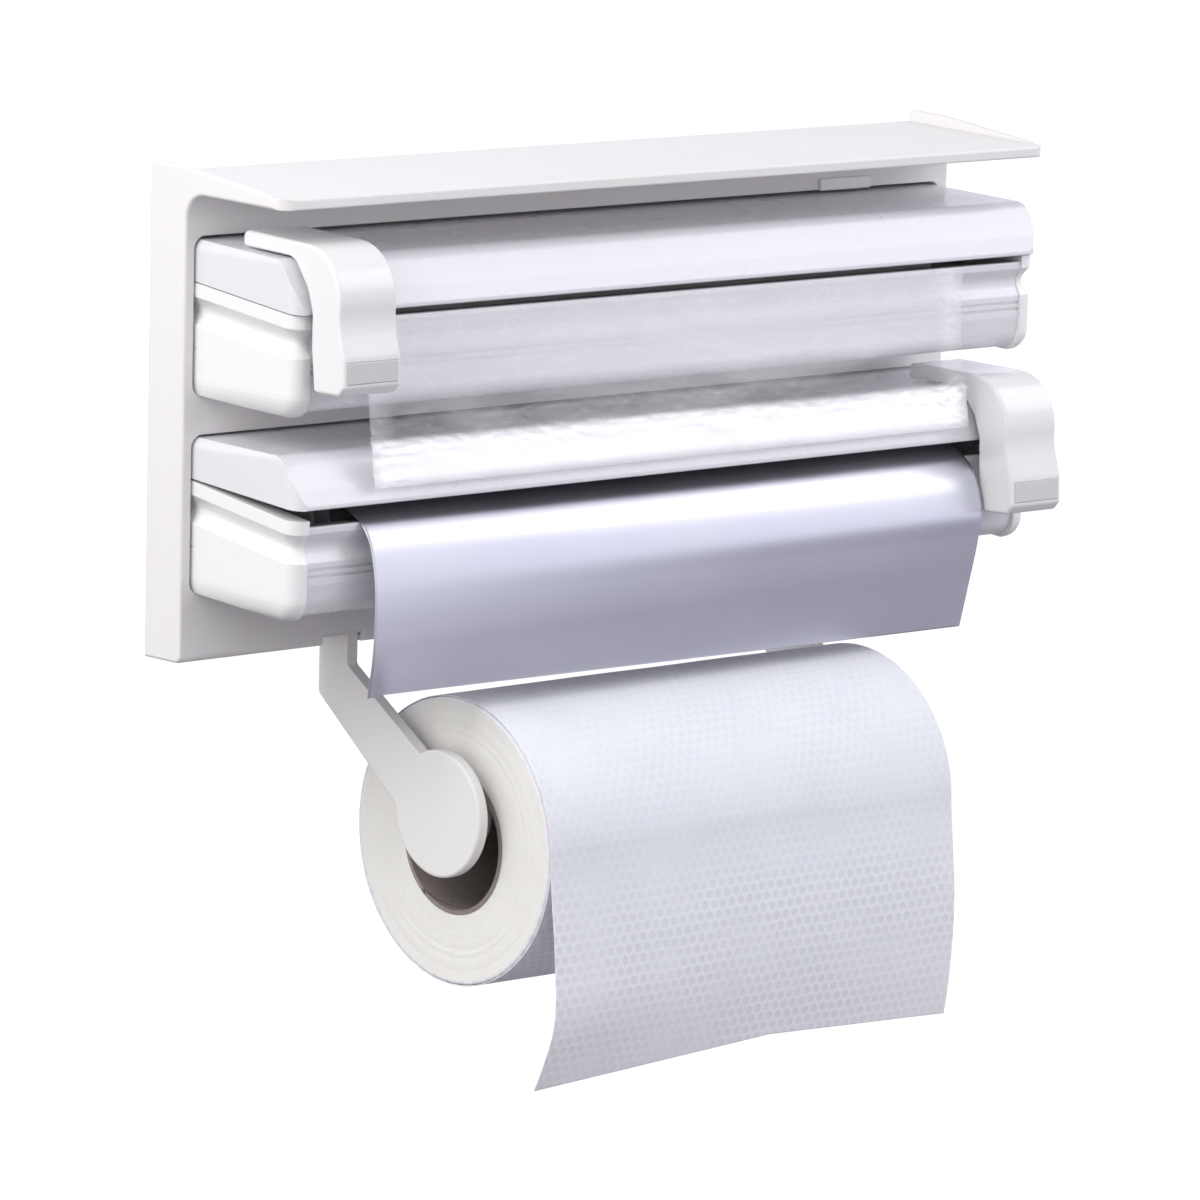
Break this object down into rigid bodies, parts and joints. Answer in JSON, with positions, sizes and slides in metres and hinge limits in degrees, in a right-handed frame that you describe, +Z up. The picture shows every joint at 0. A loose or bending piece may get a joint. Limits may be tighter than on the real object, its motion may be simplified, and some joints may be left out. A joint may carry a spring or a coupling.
{
  "type": "wall-mounted kitchen wrap dispenser",
  "caption": "Wall frame with shelf, pull-out cling film and foil cassettes with hinged lids and sliding cutters, and a paper roll hung between two sliding arms.",
  "frame": {"origin": "centre of the four wall screw holes, on the back plane of the wall frame", "axes": "+Z up, +X to the right as seen from the room, +Y into the wall"},
  "size_m": [0.4, 0.1282, 0.3475],
  "materials": {
    "moulded_white": "satin, warm white moulding",
    "case_white": "satin white extrusion",
    "cap_white": "gloss white moulding",
    "cutter_white": "gloss white moulding",
    "label_grey": "blank satin plate",
    "black_strip": "matt black",
    "blade_steel": "ground",
    "pin_steel": "turned",
    "plug_grey": "matt grey",
    "tube_card": "raw board",
    "film_clear": "thin clear film in layers",
    "foil_silver": "rolled foil",
    "paper_white": "embossed tissue"
  },
  "bodies": {
    "frame": {"wall_frame": "moulded_white", "bay_clip": "cap_white"},
    "film_cassette": {"film_trough": "case_white", "film_cap_left": "cap_white", "film_cap_right": "cap_white", "film_hinge_pins": "pin_steel", "film_lip_strip": "black_strip", "cling_film": "film_clear"},
    "film_lid": {"film_lid": "case_white", "film_slot_guide": "black_strip"},
    "film_cutter": {"film_cutter_body": "cutter_white", "film_cutter_shoe": "black_strip", "film_cutter_blade": "blade_steel", "film_cutter_label": "label_grey"},
    "film_roll": {"film_roll_core": "tube_card", "film_roll_winding": "film_clear", "film_roll_plugs": "plug_grey"},
    "foil_cassette": {"foil_trough": "case_white", "foil_cap_left": "cap_white", "foil_cap_right": "cap_white", "foil_hinge_pins": "pin_steel", "foil_lip_strip": "black_strip", "foil_sheet": "foil_silver"},
    "foil_lid": {"foil_lid": "case_white", "foil_slot_guide": "black_strip"},
    "foil_cutter": {"foil_cutter_body": "cutter_white", "foil_cutter_shoe": "black_strip", "foil_cutter_blade": "blade_steel", "foil_cutter_label": "label_grey"},
    "foil_roll": {"foil_roll_core": "tube_card", "foil_roll_winding": "foil_silver", "foil_roll_plugs": "plug_grey"},
    "left_arm": {"left_arm": "moulded_white", "paper_tail": "paper_white"},
    "right_arm": {"right_arm": "moulded_white"},
    "paper_roll": {"paper_core": "tube_card", "paper_winding": "paper_white"}
  },
  "joints": [
    {"name": "film_cassette_slide", "type": "slide", "parent": "frame", "child": "film_cassette", "axis": [0, -1, 0], "range_m": [0, 0.08]},
    {"name": "film_lid_hinge", "type": "hinge", "parent": "film_cassette", "child": "film_lid", "pos_m": [0, -0.013, 0.06245], "axis": [-1, 0, 0], "range_deg": [0, 6], "deforming": ["cling_film"]},
    {"name": "film_cutter_slide", "type": "slide", "parent": "film_lid", "child": "film_cutter", "axis": [1, 0, 0], "range_m": [0, 0.343], "deforming": ["cling_film"]},
    {"name": "film_roll_spin", "type": "hinge", "parent": "film_cassette", "child": "film_roll", "pos_m": [-0.0045, -0.038, 0.03425], "axis": [1, 0, 0], "continuous": true},
    {"name": "foil_cassette_slide", "type": "slide", "parent": "frame", "child": "foil_cassette", "axis": [0, -1, 0], "range_m": [0, 0.08], "deforming": ["cling_film"]},
    {"name": "foil_lid_hinge", "type": "hinge", "parent": "foil_cassette", "child": "foil_lid", "pos_m": [0, -0.01453, -0.01286], "axis": [-1, 0, 0], "range_deg": [-3.5, 2.5], "deforming": ["foil_sheet"]},
    {"name": "foil_cutter_slide", "type": "slide", "parent": "foil_lid", "child": "foil_cutter", "axis": [-1, 0, 0], "range_m": [0, 0.343], "deforming": ["foil_sheet"]},
    {"name": "foil_roll_spin", "type": "hinge", "parent": "foil_cassette", "child": "foil_roll", "pos_m": [-0.0045, -0.03873, -0.04175], "axis": [1, 0, 0], "continuous": true},
    {"name": "left_arm_slide", "type": "slide", "parent": "frame", "child": "left_arm", "axis": [-1, 0, 0], "range_m": [0, 0.014]},
    {"name": "right_arm_slide", "type": "slide", "parent": "frame", "child": "right_arm", "axis": [1, 0, 0], "range_m": [0, 0.014]},
    {"name": "paper_roll_spin", "type": "hinge", "parent": "left_arm", "child": "paper_roll", "pos_m": [0.0049, -0.0675, -0.16595], "axis": [1, 0, 0], "continuous": true}
  ]
}
